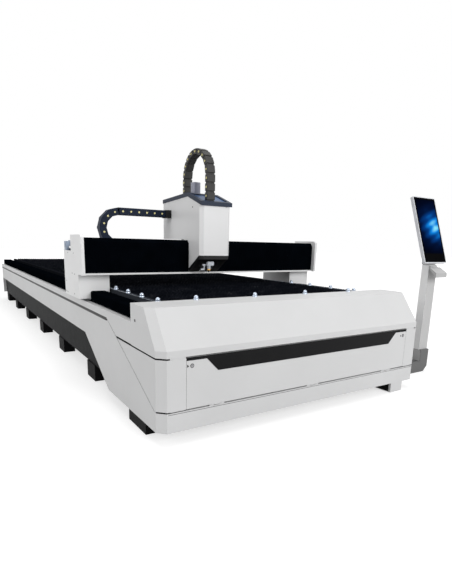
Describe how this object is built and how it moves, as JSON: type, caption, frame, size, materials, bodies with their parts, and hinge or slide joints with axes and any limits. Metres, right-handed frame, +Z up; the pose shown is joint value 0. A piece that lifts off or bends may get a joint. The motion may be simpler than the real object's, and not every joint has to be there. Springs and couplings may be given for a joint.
{
  "type": "laser cutting machine",
  "caption": "Fibre laser cutting machine: long slatted bed, travelling gantry with a cutting head, bellows, cable chains and a monitor stand beside it",
  "frame": {"origin": "middle of the overall box on the floor", "axes": "X across the bed to the right seen from the front, Y back along the bed, Z up"},
  "size_m": [3.725, 9.002, 2.3578],
  "materials": {
    "body_paint": "light grey-white powder coat",
    "gantry_paint": "light grey powder coat",
    "head_paint": "light grey powder coat, smooth",
    "beam_paint": "dark grey structural paint",
    "foot_paint": "dark grey structural paint",
    "slat_steel": "dark rolled steel",
    "tray_steel": "plain sheet steel",
    "edge_steel": "light machined steel",
    "ball_steel": "bright steel",
    "rail_steel": "ground steel",
    "machined_steel": "machined steel",
    "bellows_fabric": "near-black coated cloth",
    "console_grey": "dark grey paint",
    "console_white": "white paint",
    "console_white_plastic": "white plastic",
    "screen_glass": "lit display behind a clear front",
    "stripe_black": "gloss black",
    "lock_chrome": "chrome",
    "motor_case": "blue-grey painted casting",
    "chain_navy": "dark blue plastic",
    "chain_brown": "grey-brown plastic",
    "bracket_black": "black",
    "cap_slate": "slate blue, satin",
    "head_alloy": "anodised aluminium",
    "nozzle_brass": "turned brass"
  },
  "bodies": {
    "root": {"side_beams": "beam_paint", "cross_members": "beam_paint", "leveling_feet": "foot_paint", "side_walls": "body_paint", "lower_panels": "body_paint", "corner_panels": "body_paint", "hood": "body_paint", "front_skirt": "body_paint", "front_frame": "beam_paint", "rear_panel": "body_paint", "table_frame": "beam_paint", "slats": "slat_steel", "slag_trays": "tray_steel", "edge_bars": "edge_steel", "ball_units": "ball_steel", "y_rails": "rail_steel", "y_racks": "rail_steel", "y_bellows_front": "bellows_fabric", "y_bellows_rear": "bellows_fabric", "console_base": "console_grey", "console_pole": "console_white", "console_brackets": "console_white"},
    "front_door": {"front_door": "body_paint", "door_stripe": "stripe_black"},
    "door_lock_left": {"door_lock_left": "lock_chrome"},
    "door_lock_right": {"door_lock_right": "lock_chrome"},
    "gantry": {"gantry_beam": "gantry_paint", "gantry_foot_plates": "machined_steel", "gantry_end_plates": "gantry_paint", "carriage_covers": "gantry_paint", "y_guide_blocks": "machined_steel", "y_motors": "motor_case", "x_rails": "rail_steel", "x_rack": "rail_steel", "bellows_ledge": "gantry_paint", "x_bellows": "bellows_fabric", "x_chain_tray": "gantry_paint", "x_chain_lower": "chain_navy"},
    "y_pinion_left": {"y_pinion_left": "machined_steel"},
    "y_pinion_right": {"y_pinion_right": "machined_steel"},
    "x_chain_loop": {"x_chain_loop": "chain_navy"},
    "head": {"saddle": "machined_steel", "x_guide_blocks": "machined_steel", "head_motors": "motor_case", "head_cover": "head_paint", "head_cap": "cap_slate", "head_bottom_plate": "bracket_black", "z_rails": "rail_steel", "z_chain": "chain_brown", "chain_brackets": "bracket_black", "x_chain_upper": "chain_navy"},
    "x_pinion": {"x_pinion": "machined_steel"},
    "z_screw": {"z_screw": "rail_steel"},
    "z_slide": {"z_slide": "head_alloy", "cutting_head": "head_alloy", "nozzle": "nozzle_brass"},
    "lens_drawer": {"lens_drawer": "head_alloy"},
    "monitor": {"monitor_housing": "console_white_plastic", "monitor_screen": "screen_glass"},
    "keyboard_tray": {"keyboard_tray": "console_white"}
  },
  "joints": [
    {"name": "front_door_hinge", "type": "hinge", "parent": "root", "child": "front_door", "pos_m": [-0.3925, -4.497, 0.2525], "axis": [1, 0, 0], "range_deg": [0, 95]},
    {"name": "door_lock_left_turn", "type": "hinge", "parent": "front_door", "child": "door_lock_left", "pos_m": [-1.5495, -4.499, 0.571], "axis": [0, 1, 0], "range_deg": [0, 90]},
    {"name": "door_lock_right_turn", "type": "hinge", "parent": "front_door", "child": "door_lock_right", "pos_m": [0.7645, -4.499, 0.571], "axis": [0, -1, 0], "range_deg": [0, 90]},
    {"name": "gantry_travel", "type": "slide", "parent": "root", "child": "gantry", "axis": [0, 1, 0], "range_m": [-0.78, 5.3], "deforming": ["y_bellows_front", "y_bellows_rear"]},
    {"name": "y_pinion_left_turn", "type": "hinge", "parent": "gantry", "child": "y_pinion_left", "pos_m": [-1.7678, -2.259, 0.84], "axis": [0, 0, 1], "range_deg": [-9500, 1400]},
    {"name": "y_pinion_right_turn", "type": "hinge", "parent": "gantry", "child": "y_pinion_right", "pos_m": [0.9828, -2.259, 0.84], "axis": [0, 0, 1], "range_deg": [-1400, 9500]},
    {"name": "head_travel", "type": "slide", "parent": "gantry", "child": "head", "axis": [1, 0, 0], "range_m": [-0.8, 1.05], "deforming": ["x_bellows", "x_chain_upper", "x_chain_lower"]},
    {"name": "x_chain_loop_travel", "type": "slide", "parent": "gantry", "child": "x_chain_loop", "axis": [1, 0, 0], "range_m": [-0.4, 0.525]},
    {"name": "x_pinion_turn", "type": "hinge", "parent": "head", "child": "x_pinion", "pos_m": [-0.5415, -2.6417, 1.333], "axis": [0, 0, 1], "range_deg": [-1890, 1440]},
    {"name": "z_travel", "type": "slide", "parent": "head", "child": "z_slide", "axis": [0, 0, 1], "range_m": [-0.1, 0], "deforming": ["z_chain"]},
    {"name": "z_screw_turn", "type": "hinge", "parent": "head", "child": "z_screw", "pos_m": [-0.6175, -2.798, 1.5], "axis": [0, 0, 1], "range_deg": [-1810, 10]},
    {"name": "lens_drawer_slide", "type": "slide", "parent": "z_slide", "child": "lens_drawer", "axis": [0, -1, 0], "range_m": [0, 0.06]},
    {"name": "monitor_tilt", "type": "hinge", "parent": "root", "child": "monitor", "pos_m": [1.6625, -4.05652, 1.36378], "axis": [-1, 0, 0], "range_deg": [-3, 20]},
    {"name": "keyboard_tray_fold", "type": "hinge", "parent": "root", "child": "keyboard_tray", "pos_m": [1.6625, -4.162, 1.205], "axis": [-1, 0, 0], "range_deg": [0, 22]}
  ],
  "couplings": [
    {"joint": "y_pinion_left_turn", "follows": "gantry_travel", "rad_per_m": -31.25},
    {"joint": "y_pinion_right_turn", "follows": "gantry_travel", "rad_per_m": 31.25},
    {"joint": "x_chain_loop_travel", "follows": "head_travel", "ratio": 0.5},
    {"joint": "x_pinion_turn", "follows": "head_travel", "rad_per_m": -31.25},
    {"joint": "z_screw_turn", "follows": "z_travel", "rad_per_m": 314.16}
  ]
}
